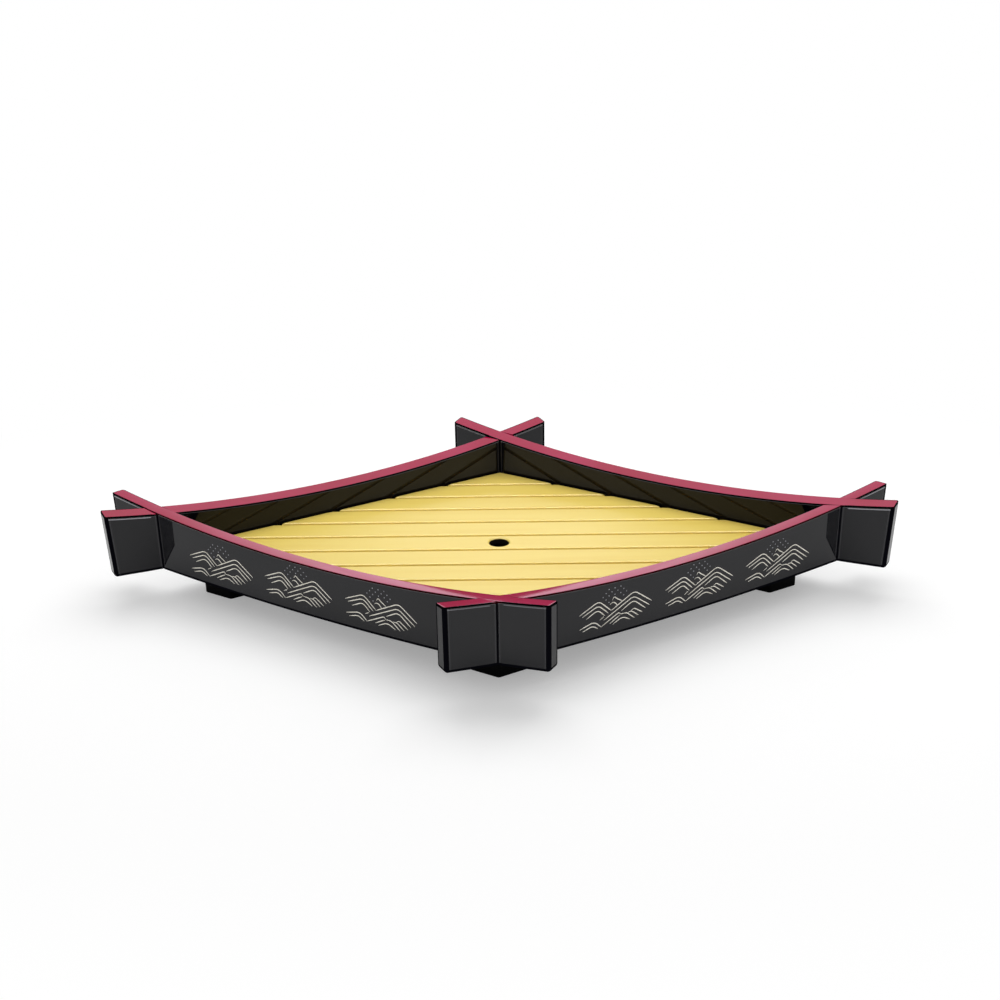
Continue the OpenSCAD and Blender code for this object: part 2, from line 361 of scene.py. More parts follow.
def finish_piece(mesh: bpy.types.Mesh, body: str, material: bpy.types.Material,
                 stands_for: tuple[str, ...] = ()) -> bpy.types.Object:
    """Welds a mesh, turns its faces out, shades it and hangs it on its body.

    Args:
        mesh: the mesh, under the piece's name, with its place in its vertices.
        body: the CAD body that it moves with.
        material: its finish.
        stands_for: CAD nodes that it replaces.

    Returns:
        The object.
    """
    work = bmesh.new()
    work.from_mesh(mesh)
    bmesh.ops.remove_doubles(work, verts=work.verts, dist=WELD)
    bmesh.ops.recalc_face_normals(work, faces=work.faces)
    work.to_mesh(mesh)
    work.free()
    mesh.polygons.foreach_set("use_smooth", np.ones(len(mesh.polygons), bool))
    mesh.set_sharp_from_angle(angle=CREASE)
    mesh.materials.append(material)
    piece = new_object(mesh.name, mesh)
    weighted = piece.modifiers.new("flat_face_shading", "WEIGHTED_NORMAL")
    weighted.mode = "FACE_AREA"
    weighted.weight = FLAT_WEIGHT
    weighted.keep_sharp = True
    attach(piece, body)
    if stands_for:
        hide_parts(*stands_for)
    LOG.info("%s: %d faces on %s", piece.name, len(mesh.polygons), body)
    return piece


@dataclass
class Shells:
    """Closed skins that are gathered and made one mesh."""

    vertices: list[np.ndarray] = field(default_factory=list)
    faces: list[Face] = field(default_factory=list)
    count: int = 0

    def add(self, rings: np.ndarray) -> None:
        """Adds one skin over closed rings, with a flat face at each end.

        Args:
            rings: array of rings by points by x, y, z.
        """
        steps, points = rings.shape[:2]
        first, last = self.count, self.count + (steps - 1) * points
        self.faces += skin_faces(steps, points, first)
        self.faces += [tuple(range(first, first + points))[::-1], tuple(range(last, last + points))]
        self.vertices.append(rings.reshape(-1, 3))
        self.count = last + points

    def mesh(self, name: str) -> bpy.types.Mesh:
        """Makes the gathered skins one mesh.

        Args:
            name: the mesh's name.

        Returns:
            The mesh.
        """
        mesh = bpy.data.meshes.new(name)
        mesh.from_pydata(np.concatenate(self.vertices), [], self.faces)
        return mesh


def mark_places(piece: bpy.types.Object, plan: TrayPlan, side: Side) -> None:
    """Writes where each point lies on its beam, for the finishes.

    beam_place holds the distance from the beam's middle towards the side crossing before the end
    leans, the distance from the centre line to the outside, and the height over the bottom edge.
    crossing_gap is the distance from the sides of the crossing beams: the slanted place's distance
    from the crossing, times the sine of the angle between the beams, less half a beam. top_gap is
    the depth under the seam of the red strip.

    Args:
        piece: a piece on a beam.
        plan: the beams' layout.
        side: the beam's side of the tray.
    """
    points = np.empty(len(piece.data.vertices) * 3, np.float32)
    piece.data.vertices.foreach_get("co", points)
    x, y, z = plan.along(points.reshape(-1, 3).astype(float), side).T
    pair = side.pair
    x = x + plan.lean(x, z, pair)
    place = np.stack([pair.value * x, y, z - plan.bottom_z(x, pair)], -1)
    gap = np.abs(np.abs(x - pair.value * plan.notch_slant * y) - plan.half_span)
    gap = gap * math.sin(2 * plan.angle) - plan.beam_t / 2
    under = plan.top_z(x, y, pair, plan.cap_t) - z
    for name, kind, key, values in (("beam_place", "FLOAT_VECTOR", "vector", place),
                                    ("crossing_gap", "FLOAT", "value", gap),
                                    ("top_gap", "FLOAT", "value", under)):
        layer = piece.data.attributes.new(name, kind, "POINT")
        layer.data.foreach_set(key, values.astype(np.float32).ravel())


class Wire:
    """A node socket that takes part in Python expressions."""

    def __init__(self, bench: "Bench", socket: bpy.types.NodeSocket) -> None:
        """Keeps the socket and the bench that its tree is built on."""
        self.bench = bench
        self.socket = socket

    def __add__(self, other: "Wire | float") -> "Wire":
        """Sum."""
        return self.bench.math("ADD", self, other)

    def __radd__(self, other: float) -> "Wire":
        """Sum with a number on the left."""
        return self.bench.math("ADD", other, self)

    def __sub__(self, other: "Wire | float") -> "Wire":
        """Difference."""
        return self.bench.math("SUBTRACT", self, other)

    def __rsub__(self, other: float) -> "Wire":
        """Difference from a number."""
        return self.bench.math("SUBTRACT", other, self)

    def __mul__(self, other: "Wire | float") -> "Wire":
        """Product."""
        return self.bench.math("MULTIPLY", self, other)

    def __rmul__(self, other: float) -> "Wire":
        """Product with a number on the left."""
        return self.bench.math("MULTIPLY", other, self)

    def __pow__(self, other: "Wire | float") -> "Wire":
        """Power."""
        return self.bench.math("POWER", self, other)

    def __rpow__(self, other: float) -> "Wire":
        """Power of a number."""
        return self.bench.math("POWER", other, self)

    def abs(self) -> "Wire":
        """Absolute value."""
        return self.bench.math("ABSOLUTE", self)

    def above(self, floor: "Wire | float") -> "Wire":
        """The greater of the value and another."""
        return self.bench.math("MAXIMUM", self, floor)

    def below(self, ceiling: "Wire | float") -> "Wire":
        """The lesser of the value and another."""
        return self.bench.math("MINIMUM", self, ceiling)

    def about(self, level: float, spread: float) -> "Wire":
        """A level that wanders with a noise, by its distance from a half times the spread."""
        return level + spread * (self - 0.5)

    def ramp(self, low: float, high: float) -> "Wire":
        """Smooth step from 0 at low to 1 at high."""
        return self.bench.node("ShaderNodeMapRange", {"interpolation_type": "SMOOTHSTEP"},
                               {"Value": self, "From Min": low, "From Max": high})

    def step(self, edge: float, soft: float) -> "Wire":
        """0 below an edge and 1 above it, with a smooth step as far as soft on each side."""
        return self.ramp(edge - soft, edge + soft)

    def band(self, low: float, high: float, soft: float) -> "Wire":
        """1 between two values, with soft edges."""
        return self.step(low, soft) * (1.0 - self.step(high, soft))


@dataclass(frozen=True)
class Grain:
    """A noise over the object.

    Args:
        waves: waves per metre.
        octaves: octaves of the noise.
        rough: how strong the fine octaves are.
        stretch: scale of each axis, or None for an even noise.
    """

    waves: float
    octaves: float = 2.0
    rough: float = 0.5
    stretch: Triple | None = None


@dataclass(frozen=True)
class Ripple:
    """A fine relief: shares of two noises, and the height of its full step in metres."""

    shares: tuple[float, float]
    grains: tuple[Grain, Grain]
    height: float = 0.01 * MM


class Bench:
    """A node tree under construction."""

    def __init__(self, tree: bpy.types.NodeTree) -> None:
        """Clears the tree and keeps it."""
        self.tree = tree
        tree.nodes.clear()

    def node(self, kind: str, settings: dict | None = None, inputs: dict | None = None,
             output: str | int = 0) -> Wire:
        """Adds a node.

        Args:
            kind: the node's type.
            settings: its own properties, set first.
            inputs: values or wires for its sockets, by name or number.
            output: which output is returned.

        Returns:
            The output as a wire.
        """
        node = self.tree.nodes.new(kind)
        for key, value in (settings or {}).items():
            setattr(node, key, value)
        for key, value in (inputs or {}).items():
            if isinstance(value, Wire):
                self.tree.links.new(value.socket, node.inputs[key])
            else:
                node.inputs[key].default_value = value
        return Wire(self, node.outputs[output] if node.outputs else None)

    def math(self, operation: str, *values: "Wire | float") -> Wire:
        """Adds a Math node for an operation on wires and numbers."""
        return self.node("ShaderNodeMath", {"operation": operation}, dict(enumerate(values)))

    def blend(self, factor: Wire, first: Wire | Colour, second: Wire | Colour) -> Wire:
        """Mixes two colours by a factor, from the first to the second."""
        a, b = (v if isinstance(v, Wire) else (*v, 1.0) for v in (first, second))
        return self.node("ShaderNodeMix", {"data_type": "RGBA"}, {0: factor, 6: a, 7: b}, 2)

    def choose(self, factor: Wire, first: Wire, second: Wire) -> Wire:
        """Mixes two shaders by a factor, from the first to the second."""
        return self.node("ShaderNodeMixShader", None, {0: factor, 1: first, 2: second})

    def place(self) -> Wire:
        """Object coordinates, in metres."""
        return self.node("ShaderNodeTexCoord", output="Object")

    def attribute(self, name: str, output: str = "Fac") -> Wire:
        """One of the piece's own attributes: its one number, or its Vector."""
        return self.node("ShaderNodeAttribute", {"attribute_name": name}, output=output)

    def split(self, vector: Wire) -> list[Wire]:
        """The three numbers of a vector."""
        first = self.node("ShaderNodeSeparateXYZ", None, {0: vector})
        return [Wire(self, number) for number in first.socket.node.outputs]

    def ray(self, kind: str) -> Wire:
        """1 for rays of one kind, such as Camera or Glossy, else 0."""
        return self.node("ShaderNodeLightPath", output=f"Is {kind} Ray")

    def seen(self) -> Wire:
        """1 for rays from the camera, off gloss or through glass, else 0."""
        return (self.ray("Camera") + self.ray("Glossy") + self.ray("Transmission")).below(1.0)

    def noise(self, grain: Grain) -> Wire:
        """Adds a noise.

        Args:
            grain: its pattern.

        Returns:
            The noise's value, about 0.5 on average.
        """
        place = self.place()
        if grain.stretch:
            sockets = {"Vector": place, "Scale": grain.stretch}
            place = self.node("ShaderNodeMapping", None, sockets)
        return self.node("ShaderNodeTexNoise", None,
                         {"Vector": place, "Scale": grain.waves, "Detail": grain.octaves,
                          "Roughness": grain.rough})

    def bump(self, height: Wire, distance: float) -> Wire:
        """Normal that follows a height field whose full step is distance metres."""
        return self.node("ShaderNodeBump", None,
                         {"Height": height, "Distance": distance, "Strength": 1.0})

    def ripple(self, ripple: Ripple) -> Wire:
        """Normal that follows a ripple."""
        first, second = (s * self.noise(g) for s, g in zip(ripple.shares, ripple.grains))
        return self.bump(first + second, ripple.height)

    def surface(self, **sockets: Wire | float | Colour) -> None:
        """Ends the tree with a Principled surface.

        Args:
            sockets: values or wires, named as the sockets with their spaces as underscores.
        """
        named = {key.replace("_", " "): (*value, 1.0) if isinstance(value, tuple) else value
                 for key, value in sockets.items()}
        shader = self.node("ShaderNodeBsdfPrincipled", None, named)
        self.node("ShaderNodeOutputMaterial", None, {"Surface": shader})


def new_material(name: str) -> tuple[bpy.types.Material, Bench]:
    """Starts a material.

    Args:
        name: the material's name.

    Returns:
        The material and the bench for its empty node tree.
    """
    material = bpy.data.materials.new(name)
    material.use_nodes = True
    return material, Bench(material.node_tree)


class Finish(ABC):
    """A finish of the tray's pieces, under a name.

    A finish's Edges are the two ends of a ramp over a noise or a length, or shares of a length. A
    Wander is a level and how far a noise spreads it.
    """

    name: str

    def build(self) -> bpy.types.Material:
        """Makes the material.

        Returns:
            The material, painted.
        """
        material, bench = new_material(self.name)
        self.paint(bench)
        return material

    @abstractmethod
    def paint(self, bench: Bench) -> None:
        """Lays the nodes of the finish on the bench, up to the surface."""


def past_insets(plan: TrayPlan, x: Wire, y: Wire) -> tuple[Wire, Wire]:
    """How far a place lies past a beam's outline drawn in by its corner radius.

    Args:
        plan: the beams' layout.
        x: distance from the beam's middle.
        y: distance from its centre line.

    Returns:
        The lengths past the end and past the side.
    """
    radius = plan.end_corner_r
    return x.abs() - (plan.half_l - radius), y.abs() - (plan.beam_t / 2 - radius)


@dataclass(frozen=True)
class BeamLacquer(Finish):
    """Black gloss lacquer on the beams: clear coat over deep black, with painted shade at the
    edges.

    It reads beam_place and crossing_gap. The coat is left off, as painted shade that renders dark
    like dark reflections, at the upright corners, where the lesser of the place's lengths past the
    inset end and past the inset side is more than minus the corner band, along the bottom edge, and
    beside the crossing beams. A paler hairline, a painted highlight, follows where the full coat
    begins again, and another painted highlight, read from top_gap, runs under the top of each stub,
    fainter at the front and rear crossings. The walls round the board get a thinner coat, painted
    shade that darkens them.
    """

    plan: TrayPlan
    name: str = "beam_black_lacquer"
    deep: Colour = (0.0018, 0.0018, 0.0036)
    pale: Colour = (0.003, 0.003, 0.0052)
    # Colours of the painted highlights: the hairline beside the bands and the line under the tops.
    painted_edge_highlight: Colour = (0.05, 0.05, 0.055)
    painted_top_highlight: Colour = (0.5, 0.5, 0.54)
    far_highlight: float = 0.38
    bottom_band: float = 3.2 * MM
    corner_band: float = 0.9 * MM
    crossing_band: float = 0.9 * MM
    line_w: float = 0.9 * MM
    top_highlight_at: float = 0.8 * MM
    soft: float = 0.2 * MM
    line_soft: float = 1 * MM
    # Coat lost in the painted dark bands and, as painted shade, on the walls round the board.
    dark_band_coat_loss: float = 0.98
    inner_wall_shade_loss: float = 0.45
    side_share: Edges = (0.9, 0.97)
    inner_share: Edges = (0.4, 0.45)
    under_rough: Wander = (0.4, 0.2)
    highlight_level: Wander = (0.6, 0.3)
    top_highlight_level: Wander = (0.8, 0.4)
    coat: Wander = (0.93, 0.14)
    coat_ior: float = 1.46
    coat_rough: float = 0.04
    patches: Edges = (0.35, 0.7)
    cloud: Grain = Grain(9.0, 4.0)
    fine: Grain = Grain(75.0, 3.0, 0.6)
    ripple: Ripple = Ripple((1.0, 0.25), (Grain(160.0), Grain(650.0, 1.0)))

    def paint(self, bench: Bench) -> None:
        """Lays the nodes.

        Args:
            bench: the material's bench.
        """
        plan, soft, line_w = self.plan, self.soft, self.line_w
        x, y, rise = bench.split(bench.attribute("beam_place", "Vector"))
        gap, top_gap = bench.attribute("crossing_gap"), bench.attribute("top_gap")
        past_end, past_side = past_insets(plan, x, y)
        # Painted shade: the coat is left off in bands at the upright corners, the bottom edge and
        # beside the crossing beams, so that they render dark.
        corner = past_end.below(past_side).step(-self.corner_band, soft)
        bottom = 1.0 - rise.step(self.bottom_band, soft)
        crossing = 1.0 - gap.step(self.crossing_band, soft)
        wear_and_painted_shade = corner.above(bottom).above(crossing)

        # Painted highlights: a pale hairline beside the bands, and a pale line under each stub's
        # top.
        on_side = past_side.ramp(*(share * plan.end_corner_r for share in self.side_share))
        start = self.corner_band + 2 * soft
        line = past_end.band(-start - line_w, -start, soft) * on_side
        start = self.crossing_band + 2 * soft
        line = line.above(gap.band(start, start + line_w, soft)) * (1.0 - wear_and_painted_shade)
        on_stub = x.abs().step(plan.stub_from + 2 * self.line_soft, self.line_soft)
        level = self.far_highlight + (1.0 - self.far_highlight) * x.step(0.0, self.line_soft)
        top_highlight = top_gap.band(self.top_highlight_at, self.top_highlight_at + line_w, soft) * on_side
        top_highlight = top_highlight * on_stub * (1.0 - corner) * level

        cloud, fine = bench.noise(self.cloud), bench.noise(self.fine)
        colour = bench.blend(cloud.ramp(*self.patches), self.deep, self.pale)
        colour = bench.blend(line * fine.about(*self.highlight_level), colour, self.painted_edge_highlight)
        colour = bench.blend(top_highlight * fine.about(*self.top_highlight_level), colour, self.painted_top_highlight)
        # Painted shade: a thinner coat darkens the walls round the board.
        between = 1.0 - x.abs().ramp(plan.half_span - plan.beam_t, plan.half_span)
        inside = (y * -1.0).ramp(*(share * plan.beam_t for share in self.inner_share)) * between
        coat = (1.0 - self.dark_band_coat_loss * wear_and_painted_shade) * (1.0 - self.inner_wall_shade_loss * inside)
        bench.surface(Base_Color=colour, Roughness=fine.about(*self.under_rough),
                      Specular_IOR_Level=0.0, Coat_Weight=coat * cloud.about(*self.coat),
                      Coat_Roughness=self.coat_rough, Coat_IOR=self.coat_ior,
                      Normal=bench.ripple(self.ripple))


@dataclass(frozen=True)
class RedEdge(Finish):
    """Crimson lacquer on the tops, in a fine black rim; painted shade in maroon on the spans' outer
    side.

    It reads beam_place. The distance from the strip's rounded outline is the end radius minus the
    length of how far the place lies past the inset outline in both directions.
    """

    plan: TrayPlan
    name: str = "red_edge_lacquer"
    # The crimson's blue share is raised to carry part of a lilac sheen: painted reflection.
    deep: Colour = (0.37, 0.005, 0.045)
    pale: Colour = (0.42, 0.009, 0.07)
    # Shaded copy of the crimson for the spans' outer side: painted shade.
    painted_shade_red: Colour = (0.03, 0.0006, 0.002)
    black: Colour = (0.002, 0.002, 0.0025)
    stub_rim: float = 1.1 * MM
    side_rim: float = 0.5 * MM
    soft: float = 0.12 * MM
    rim_fade: float = 2 * MM
    under_rough: float = 0.4
    coat: Wander = (0.9, 0.2)
    coat_specks: float = 0.1
    coat_ior: float = 1.5
    coat_rough: float = 0.06
    patches: Edges = (0.35, 0.7)
    cloud: Grain = Grain(11.0, 4.0)
    fine: Grain = Grain(90.0, 3.0, 0.6)
    ripple: Ripple = Ripple((1.0, 0.3), (Grain(170.0), Grain(700.0, 1.0)))

    def paint(self, bench: Bench) -> None:
        """Lays the nodes.

        Args:
            bench: the material's bench.
        """
        plan = self.plan
        x, y, _ = bench.split(bench.attribute("beam_place", "Vector"))
        past_end, past_side = (past.above(0.0) for past in past_insets(plan, x, y))
        inside = plan.end_corner_r - (past_end * past_end + past_side * past_side) ** 0.5
        on_stub = x.abs().step(plan.stub_from, self.rim_fade)
        rim = self.side_rim + (self.stub_rim - self.side_rim) * on_stub
        red = (inside - rim).step(0.0, self.soft)
        # Black rim on the stubs and the inner side; painted shade in maroon on the spans' outer
        # side.
        dark = on_stub + (y * -1.0).ramp(0.0, self.rim_fade) * (1.0 - on_stub)
        cloud = bench.noise(self.cloud)
        colour = bench.blend(cloud.ramp(*self.patches), self.deep, self.pale)
        colour = bench.blend(red, bench.blend(dark, self.painted_shade_red, self.black), colour)
        coat = red * (cloud.about(*self.coat) + self.coat_specks * bench.noise(self.fine))
        bench.surface(Base_Color=colour, Roughness=self.under_rough, Specular_IOR_Level=0.0,
                      Coat_Weight=coat, Coat_Roughness=self.coat_rough, Coat_IOR=self.coat_ior,
                      Normal=bench.ripple(self.ripple))


@dataclass(frozen=True)
class SatinPlastic(Finish):
    """Moulded black plastic with a fine matt grain and slightly uneven sheen."""

    name: str = "satin_black"
    deep: Colour = (0.0012, 0.0012, 0.0013)
    pale: Colour = (0.0024, 0.0024, 0.0025)
    gloss: float = 0.05
    rough: Wander = (0.42, 0.1)
    patches: Edges = (0.3, 0.7)
    cloud: Grain = Grain(12.0, 4.0)
    grain: Grain = Grain(1400.0)
    grain_h: float = 0.02 * MM

    def paint(self, bench: Bench) -> None:
        """Lays the nodes.

        Args:
            bench: the material's bench.
        """
        cloud = bench.noise(self.cloud)
        colour = bench.blend(cloud.ramp(*self.patches), self.deep, self.pale)
        bench.surface(Base_Color=colour, Roughness=cloud.about(*self.rough),
                      Specular_IOR_Level=self.gloss,
                      Normal=bench.bump(bench.noise(self.grain), self.grain_h))


@dataclass(frozen=True)
class SlatFinish(Finish):
    """Yellow satin slats: even body colour with faint streaks along the slat and a soft sheen.

    A finger hole in the middle, if any, is darkened under its rim as painted shade in the hole:
    within the hole's radius of the middle and lower than the rim.
    """

    name: str = "slat_yellow"
    body: Colour = (0.86, 0.655, 0.135)
    streak: Colour = (0.825, 0.607, 0.11)
    # Colour of the painted shade inside the finger hole.
    painted_hole_shade: Colour = (0.004, 0.003, 0.002)
    hole_r: float = 0.0
    hole_top: float = 0.0
    hole_soft: float = 0.15 * MM
    hole_shade_out: float = 0.45 * MM
    hole_shade_depth: float = 1.55 * MM
    rough: Wander = (0.34, 0.1)
    rough_cloud: float = 0.06
    streak_share: float = 0.7
    streak_edges: Edges = (0.42, 0.68)
    streaks: Grain = Grain(60.0, 4.0, 0.6, (0.06, 1.0, 1.0))
    cloud: Grain = Grain(7.0, 3.0)
    ripple: Ripple = Ripple(
        (0.7, 0.3), (Grain(240.0, 3.0, 0.6, (0.05, 1.0, 1.0)), Grain(900.0)), 0.03 * MM)

    def paint(self, bench: Bench) -> None:
        """Lays the nodes.

        Args:
            bench: the material's bench.
        """
        streaks, cloud = bench.noise(self.streaks), bench.noise(self.cloud)
        pattern = self.streak_share * streaks + (1 - self.streak_share) * cloud
        colour = bench.blend(pattern.ramp(*self.streak_edges), self.body, self.streak)
        if self.hole_r:
            # Painted shade: the hole's wall below the rim is darkened.
            x, y, z = bench.split(bench.place())
            out = (x * x + y * y) ** 0.5
            wall = 1.0 - out.step(self.hole_r + self.hole_shade_out, self.hole_soft)
            low = 1.0 - z.step(self.hole_top - self.hole_shade_depth, self.hole_soft)
            colour = bench.blend(wall * low, colour, self.painted_hole_shade)
        roughness = streaks.about(*self.rough) + cloud.about(0.0, self.rough_cloud)
        bench.surface(Base_Color=colour, Roughness=roughness, Normal=bench.ripple(self.ripple))


@dataclass(frozen=True)
class PaleGold(Finish):
    """Pale gold print: fine flakes in a clear film, a little thin in places."""

    name: str = "pale_gold_print"
    bright: Colour = (0.93, 0.89, 0.79)
    wear_and_painted_shade: Colour = (0.74, 0.7, 0.6)
    metal: float = 0.25
    rough: Wander = (0.38, 0.2)
    patches: Edges = (0.45, 0.75)
    flakes: Grain = Grain(900.0, 2.0, 0.7)
    cloud: Grain = Grain(120.0)
    flake_h: float = 0.03 * MM

    def paint(self, bench: Bench) -> None:
        """Lays the nodes.

        Args:
            bench: the material's bench.
        """
        flakes = bench.noise(self.flakes)
        patches = bench.noise(self.cloud).ramp(*self.patches)
        bench.surface(Base_Color=bench.blend(patches, self.bright, self.wear_and_painted_shade),
                      Roughness=flakes.about(*self.rough), Metallic=self.metal,
                      Normal=bench.bump(flakes, self.flake_h))


@dataclass(frozen=True)
class PlatedSteel(Finish):
    """Dull plated steel with faint turning marks."""

    name: str = "plated_steel"
    dark: Colour = (0.26, 0.26, 0.28)
    bright: Colour = (0.38, 0.38, 0.4)
    rough: Wander = (0.525, 0.15)
    cloud: Grain = Grain(300.0, 3.0)
    marks: Grain = Grain(2200.0, 1.0)
    mark_h: float = 0.01 * MM

    def paint(self, bench: Bench) -> None:
        """Lays the nodes.

        Args:
            bench: the material's bench.
        """
        cloud = bench.noise(self.cloud)
        bench.surface(Base_Color=bench.blend(cloud, self.dark, self.bright), Metallic=1.0,
                      Roughness=cloud.about(*self.rough),
                      Normal=bench.bump(bench.noise(self.marks), self.mark_h))


@dataclass(frozen=True)
class BeechWood(Finish):
    """Plain beech: pale brown with short darker flecks along the grain."""

    name: str = "beech"
    pale: Colour = (0.6, 0.4, 0.22)
    fleck: Colour = (0.42, 0.25, 0.12)
    rough: Wander = (0.55, 0.2)
    flecks: Edges = (0.4, 0.7)
    grain: Grain = Grain(900.0, 4.0, 0.6, (1.0, 1.0, 0.08))
    grain_h: float = 0.05 * MM

    def paint(self, bench: Bench) -> None:
        """Lays the nodes.

        Args:
            bench: the material's bench.
        """
        grain = bench.noise(self.grain)
        colour = bench.blend(grain.ramp(*self.flecks), self.pale, self.fleck)
        bench.surface(Base_Color=colour, Roughness=grain.about(*self.rough),
                      Normal=bench.bump(grain, self.grain_h))


@dataclass
class Finishes:
    """All finishes of the tray, made once; the spray's dots are a greyer print."""

    plan: TrayPlan
    spray_bright: Colour = (0.33, 0.33, 0.36)
    spray_worn: Colour = (0.22, 0.22, 0.25)

    def __post_init__(self) -> None:
        """Makes the materials, and lists them by the record's slots."""
        self.black = BeamLacquer(self.plan).build()
        self.red = RedEdge(self.plan).build()
        self.satin = SatinPlastic().build()
        self.slat = SlatFinish().build()
        self.gold = PaleGold().build()
        self.spray = PaleGold("pale_spray_print", self.spray_bright, self.spray_worn).build()
        self.by_slot = {
            "black_gloss": self.black, "red_gloss": self.red, "black_satin": self.satin,
            "board_yellow": self.slat, "dowel_wood": BeechWood().build(),
            "steel": PlatedSteel().build()}


@dataclass
class Beam:
    """One curved beam: the black body with its lap notches, and the red strip on its top."""

    plan: TrayPlan
    side: Side
    edge_r: float = 1.8 * MM
    shoulder_r: float = 0.8 * MM
    cap_edge_r: float = 0.6 * MM
    crown: float = 0.1
    arc_steps: int = 5
    end_steps: int = 7
    top_steps: int = 8
    top_share: float = 0.8
    shear_run: float = 12 * MM
    ring_step: float = 6 * MM

    def stations(self) -> np.ndarray:
        """Places of the rings along the beam, evenly spaced between its ends and notches.

        The rings at the notch walls are doubled, and the outer one of each two is whole.

        Returns:
            Rows of place, slant, share of the end's rounding, and 1 inside a notch.
        """
        plan = self.plan
        r = plan.end_corner_r
        core, shear = plan.half_l - r, self.shear_run
        wall = (plan.beam_t / 2 + plan.lap_clear) / math.sin(2 * plan.angle)
        slant = self.side.pair.value * plan.notch_slant
        turn = quarter(self.end_steps)[::-1]
        end = [-(core + r * np.sin(turn)), 0 * turn, turn / (math.pi / 2), 0 * turn]
        lead, trail = -plan.half_span - wall, -plan.half_span + wall
        notch = [[place, slant, 0, 1] for place in (lead, -plan.half_span, trail)]
        half = np.concatenate([
            np.stack(end, -1), self.run(-core, lead - shear, 0, 0),
            self.run(lead - shear, lead, 0, slant), notch, [[trail, slant, 0, 0]],
            self.run(trail, trail + shear, slant, 0), self.run(trail + shear, 0, 0, 0)])
        return np.concatenate([half, half[-2::-1] * np.array([-1, 1, -1, 1])])

    def run(self, start: float, stop: float, slant_start: float, slant_stop: float) -> np.ndarray:
        """Evenly spaced rings after start and up to stop, their slant changing evenly.

        Args:
            start: place that the rings come after.
            stop: place of the last ring.
            slant_start: slant at the start.
            slant_stop: slant at the stop.

        Returns:
            Rows as stations has them.
        """
        steps = max(2, int(math.ceil(abs(stop - start) / self.ring_step)))
        share = np.arange(1, steps + 1) / steps
        place = start + (stop - start) * share
        slant = slant_start + (slant_stop - slant_start) * share
        return np.stack([place, slant, 0 * share, 0 * share], -1)

    def closing(self, rows: np.ndarray) -> tuple[np.ndarray, np.ndarray]:
        """How the beam's outline closes in at its ends, one minus the cosine of the end's turn.

        Args:
            rows: the stations.

        Returns:
            The closing, from 0 to 1, and half the beam's width, as columns.
        """
        closing = 1 - np.cos(np.abs(rows[:, 2:3]) * math.pi / 2)
        return closing, self.plan.beam_t / 2 - self.plan.end_corner_r * closing

    def leaned(self, x: np.ndarray, y: np.ndarray, z: np.ndarray) -> np.ndarray:
        """Rings of points, with the side end leaned in."""
        return np.stack([x - self.plan.lean(x, z, self.side.pair), y, z], -1)

    def body_rings(self) -> np.ndarray:
        """Rings of the black body, a bar with rounded lower edges and shoulders.

        A ring runs up one side and down the other: lower arc, lap height, shoulder arc, and the
        same mirrored. Inside a notch, the half that is cut away lies at the lap height.

        Returns:
            Array of rings by points by x, y, z along the beam.
        """
        plan, pair = self.plan, self.side.pair
        rows = self.stations()
        place, slant, notch = rows[:, 0:1], rows[:, 1:2], rows[:, 3:4]
        closing, half = self.closing(rows)
        bend = quarter(self.arc_steps)[None, :]
        r, s = self.edge_r, self.shoulder_r
        rise = r - r * np.cos(bend)
        drop = s - s * np.sin(bend)
        y_low = half - r + r * np.sin(bend)
        y_top = half - s + s * np.cos(bend)
        y = np.concatenate([y_low, half, y_top, -y_top[:, ::-1], -half, -y_low[:, ::-1]], 1)
        x = place + slant * y
        zero, rise, drop, none = 0 * half, rise + 0 * half, drop + 0 * half, 0 * y_low
        low = plan.bottom_z(x, pair) + r * closing
        low = low + np.concatenate([rise, zero, none, none, zero, rise[:, ::-1]], 1)
        high = plan.top_z(x, y, pair, plan.cap_t) - s * closing
        high = high - np.concatenate([none, zero, drop, drop[:, ::-1], zero, none], 1)
        count = self.arc_steps + 1
        index = np.arange(y.shape[1])
        from_end = np.minimum(index, index[::-1])
        lower, middle = from_end < count, from_end == count
        z = np.where(lower, low, np.where(middle, plan.lap_z, high))
        cut = lower if pair is Pair.UPPER else ~lower & ~middle
        return self.leaned(x, y, np.where((notch > 0.5) & cut, plan.lap_z, z))

    def cap_rings(self) -> list[np.ndarray]:
        """Rings of the red strip, which the lower pair has in three lengths.

        Returns:
            One array of rings for each length.
        """
        rows = self.stations()
        notched = rows[:, 3] > 0.5
        if self.side.pair is Pair.UPPER:
            return [self.cap_skin(rows[~notched])]
        cuts = np.flatnonzero(notched)
        lengths = rows[:cuts[0] + 1], rows[cuts[2]:cuts[3] + 1], rows[cuts[5]:]
        return [self.cap_skin(part) for part in lengths]

